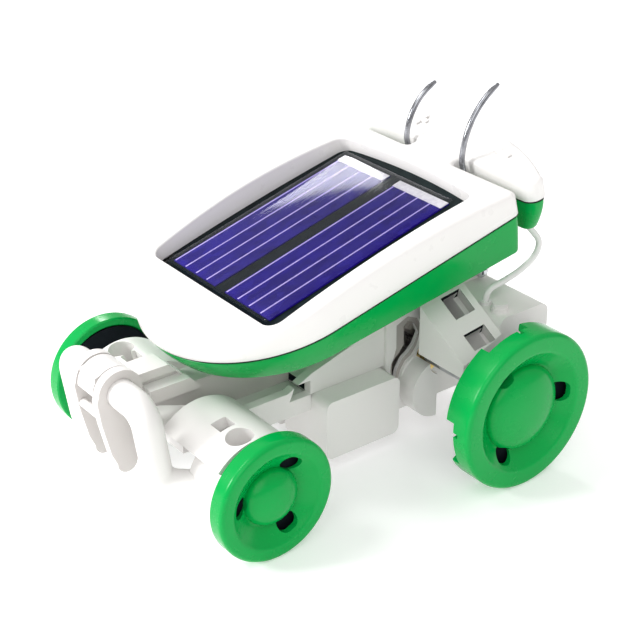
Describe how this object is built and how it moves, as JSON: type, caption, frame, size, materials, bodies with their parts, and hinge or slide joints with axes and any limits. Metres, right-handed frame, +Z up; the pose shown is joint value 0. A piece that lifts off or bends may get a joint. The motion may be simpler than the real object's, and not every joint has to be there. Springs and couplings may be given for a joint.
{
  "type": "solar robot kit",
  "caption": "Palm-size four-wheeled solar car kit: tilted solar module, bent-tube bumper, hanging tow link and a geared motor driving the rear axle.",
  "frame": {"origin": "on the ground, at the middle of the bounding box seen from above", "axes": "+Y towards the tail along the car, +X to the car's left, +Z up; the car faces -Y"},
  "size_m": [0.0754, 0.0886, 0.0643],
  "materials": {
    "white_plastic": "glossy moulded white",
    "green_plastic": "glossy moulded green",
    "black_board": "satin black",
    "cell_blue": "deep violet-blue silicon",
    "silver_print": "printed silver lines",
    "clear_resin": "clear cast resin",
    "lead_cover": "white insulated wire",
    "brass_metal": "plain",
    "polished_steel": "polished",
    "can_steel": "drawn steel",
    "gear_plastic": "natural nylon"
  },
  "bodies": {
    "chassis": {"module_bezel": "white_plastic", "polarity_marks": "white_plastic", "solar_board": "black_board", "solar_cells": "cell_blue", "cell_busbars": "silver_print", "cell_fingers": "silver_print", "resin_cover": "clear_resin", "seam_gasket": "black_board", "module_shell": "green_plastic", "tail_shell": "green_plastic", "contact_clips": "brass_metal", "antenna_plus": "polished_steel", "antenna_minus": "polished_steel", "module_screws": "polished_steel", "module_pedestal": "white_plastic", "front_clip": "white_plastic", "nose_beam": "white_plastic", "bumper_bar": "white_plastic", "axle_housing_left": "white_plastic", "axle_housing_right": "white_plastic", "front_axle": "polished_steel", "front_axle_rings": "brass_metal", "chassis_frame": "white_plastic", "centre_box": "white_plastic", "belly_plate": "white_plastic", "frame_screws": "polished_steel", "gear_case": "white_plastic", "gear_case_cover": "white_plastic", "case_screws": "polished_steel", "axle_bushes": "brass_metal", "shoulder_left": "white_plastic", "shoulder_right": "white_plastic", "motor_box": "white_plastic", "motor_box_cover": "white_plastic", "motor_can": "can_steel", "motor_end_cap": "black_board", "motor_terminals": "brass_metal", "box_screws": "white_plastic", "lead_grommet": "lead_cover", "lead_gland": "white_plastic", "solar_lead": "lead_cover"},
    "front_left_wheel": {"wheel_front_left": "green_plastic", "front_wheel_back_left": "black_board"},
    "front_right_wheel": {"wheel_front_right": "green_plastic", "front_wheel_back_right": "black_board"},
    "rear_axle_set": {"rear_axle": "polished_steel", "wheel_rear_left": "green_plastic", "wheel_rear_right": "green_plastic", "rear_wheel_backs": "black_board", "axle_gear": "gear_plastic"},
    "layshaft_set": {"layshaft": "polished_steel", "compound_gear": "gear_plastic"},
    "motor_rotor": {"motor_shaft": "polished_steel", "motor_pinion": "brass_metal"},
    "tow_link": {"tow_link_plates": "white_plastic", "tow_link_bars": "white_plastic"}
  },
  "joints": [
    {"name": "front_left_wheel_spin", "type": "hinge", "parent": "chassis", "child": "front_left_wheel", "pos_m": [0.0266, -0.02532, 0.01135], "axis": [1, 0, 0], "continuous": true},
    {"name": "front_right_wheel_spin", "type": "hinge", "parent": "chassis", "child": "front_right_wheel", "pos_m": [-0.0266, -0.02532, 0.01135], "axis": [1, 0, 0], "continuous": true},
    {"name": "rear_axle_spin", "type": "hinge", "parent": "chassis", "child": "rear_axle_set", "pos_m": [0, 0.02288, 0.015], "axis": [1, 0, 0], "continuous": true},
    {"name": "layshaft_spin", "type": "hinge", "parent": "chassis", "child": "layshaft_set", "pos_m": [0, 0.02518, 0.0237], "axis": [1, 0, 0], "continuous": true},
    {"name": "motor_spin", "type": "hinge", "parent": "chassis", "child": "motor_rotor", "pos_m": [0.004, 0.03278, 0.02049], "axis": [1, 0, 0], "continuous": true},
    {"name": "tow_link_swing", "type": "hinge", "parent": "chassis", "child": "tow_link", "pos_m": [0, -0.03982, 0.026], "axis": [1, 0, 0], "range_deg": [-100, 20]}
  ],
  "couplings": [
    {"joint": "layshaft_spin", "follows": "rear_axle_spin", "ratio": -2.6},
    {"joint": "motor_spin", "follows": "rear_axle_spin", "ratio": 6.9333}
  ]
}
